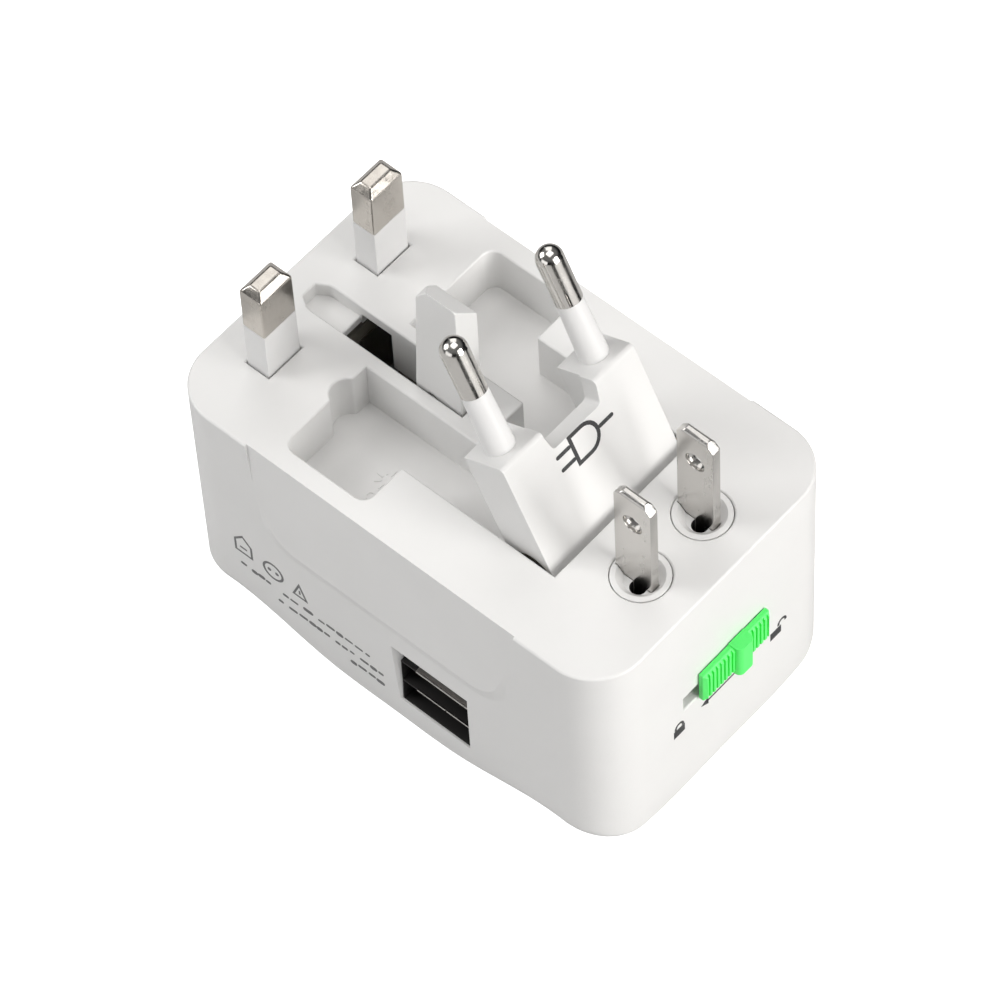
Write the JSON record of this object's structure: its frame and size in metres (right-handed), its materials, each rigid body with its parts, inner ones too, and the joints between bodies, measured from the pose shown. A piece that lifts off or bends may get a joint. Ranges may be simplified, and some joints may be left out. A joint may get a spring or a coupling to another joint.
{
  "type": "universal travel adapter",
  "caption": "White pocket travel plug adapter with pull-out British pins, flip-up European plug block, turning American and Australian blades, a lock slider and USB charging sockets.",
  "frame": {"origin": "under the middle of the whole adapter, on the flat socket face", "axes": "+Z along the plug pins, away from the socket face; +X along the body towards the lock button and the American blades; -Y towards the USB sockets"},
  "size_m": [0.0804, 0.0504, 0.0744],
  "materials": {
    "housing_white": "satin ABS",
    "cover_white": "satin ABS",
    "block_white": "satin ABS",
    "tab_white": "satin ABS",
    "sleeve_white": "smooth moulded sleeve",
    "turret_white": "satin ABS",
    "frame_ivory": "moulded nylon",
    "lock_green": "satin coloured ABS",
    "pin_nickel": "bright nickel plate on brass",
    "contact_brass": "bare stamped brass",
    "steel": "zinc plated",
    "shell_steel": "tinned sheet",
    "tongue_white": "moulded nylon",
    "board_green": "solder-masked laminate",
    "ferrite": "sintered ferrite",
    "coil_copper": "enamelled copper wire",
    "can_aluminium": "plain can",
    "chip_black": "moulded epoxy",
    "fuse_glass": "clear glass",
    "lamp_red": "clear tinted"
  },
  "bodies": {
    "housing": {"main_housing": "housing_white", "socket_cover": "cover_white", "cover_screws": "steel", "contact_frame": "frame_ivory", "frame_screws": "steel", "line_socket_contact": "contact_brass", "neutral_socket_contact": "contact_brass", "line_busbar": "contact_brass", "neutral_busbar": "contact_brass", "uk_line_wiper": "contact_brass", "uk_neutral_wiper": "contact_brass", "us_line_wiper": "contact_brass", "us_neutral_wiper": "contact_brass", "euro_line_wiper": "contact_brass", "euro_neutral_wiper": "contact_brass", "fuse_tube": "fuse_glass", "fuse_caps": "can_aluminium", "fuse_clip_supply": "contact_brass", "fuse_clip_load": "contact_brass", "usb_board": "board_green", "board_spacers": "frame_ivory", "usb_shell": "shell_steel", "usb_tongues": "tongue_white", "transformer_core": "ferrite", "transformer_winding": "coil_copper", "input_capacitor": "can_aluminium", "output_capacitor": "can_aluminium", "controller_chip": "chip_black", "power_lamp": "lamp_red", "line_feed": "contact_brass", "neutral_feed": "contact_brass", "uk_detent_spring": "steel", "lock_detent_spring": "steel", "earth_pivot_pin": "steel", "euro_pivot_pin": "steel"},
    "uk_pins": {"uk_carrier": "frame_ivory", "uk_line_pin": "pin_nickel", "uk_neutral_pin": "pin_nickel", "uk_line_sleeve": "sleeve_white", "uk_neutral_sleeve": "sleeve_white"},
    "uk_earth_tab": {"earth_tab": "tab_white"},
    "euro_plug": {"euro_block": "block_white", "euro_line_pin": "pin_nickel", "euro_neutral_pin": "pin_nickel", "euro_line_sleeve": "sleeve_white", "euro_neutral_sleeve": "sleeve_white", "euro_line_strip": "contact_brass", "euro_neutral_strip": "contact_brass"},
    "us_line_turret_body": {"us_line_turret": "turret_white"},
    "us_line_blade_body": {"us_line_blade": "pin_nickel"},
    "us_neutral_turret_body": {"us_neutral_turret": "turret_white"},
    "us_neutral_blade_body": {"us_neutral_blade": "pin_nickel"},
    "lock_slider": {"lock_button": "lock_green", "lock_plate": "steel"}
  },
  "joints": [
    {"name": "uk_pull", "type": "slide", "parent": "housing", "child": "uk_pins", "axis": [0, 0, 1], "range_m": [-0.0177, 0]},
    {"name": "earth_fold", "type": "hinge", "parent": "housing", "child": "uk_earth_tab", "pos_m": [-0.01135, 0, 0.0416], "axis": [0, -1, 0], "range_deg": [0, 82]},
    {"name": "euro_flip", "type": "hinge", "parent": "housing", "child": "euro_plug", "pos_m": [0.01625, 0, 0.039], "axis": [0, 1, 0], "range_deg": [-65, 25]},
    {"name": "us_line_turn", "type": "hinge", "parent": "housing", "child": "us_line_turret_body", "pos_m": [0.02915, 0.00635, 0.041], "axis": [0, 0, 1], "range_deg": [0, 30]},
    {"name": "us_neutral_turn", "type": "hinge", "parent": "housing", "child": "us_neutral_turret_body", "pos_m": [0.02915, -0.00635, 0.041], "axis": [0, 0, 1], "range_deg": [-30, 0]},
    {"name": "us_line_pull", "type": "slide", "parent": "us_line_turret_body", "child": "us_line_blade_body", "axis": [0, 0, 1], "range_m": [-0.018, 0]},
    {"name": "us_neutral_pull", "type": "slide", "parent": "us_neutral_turret_body", "child": "us_neutral_blade_body", "axis": [0, 0, 1], "range_m": [-0.018, 0]},
    {"name": "lock_slide", "type": "slide", "parent": "housing", "child": "lock_slider", "axis": [0, -1, 0], "range_m": [0, 0.0035]}
  ]
}
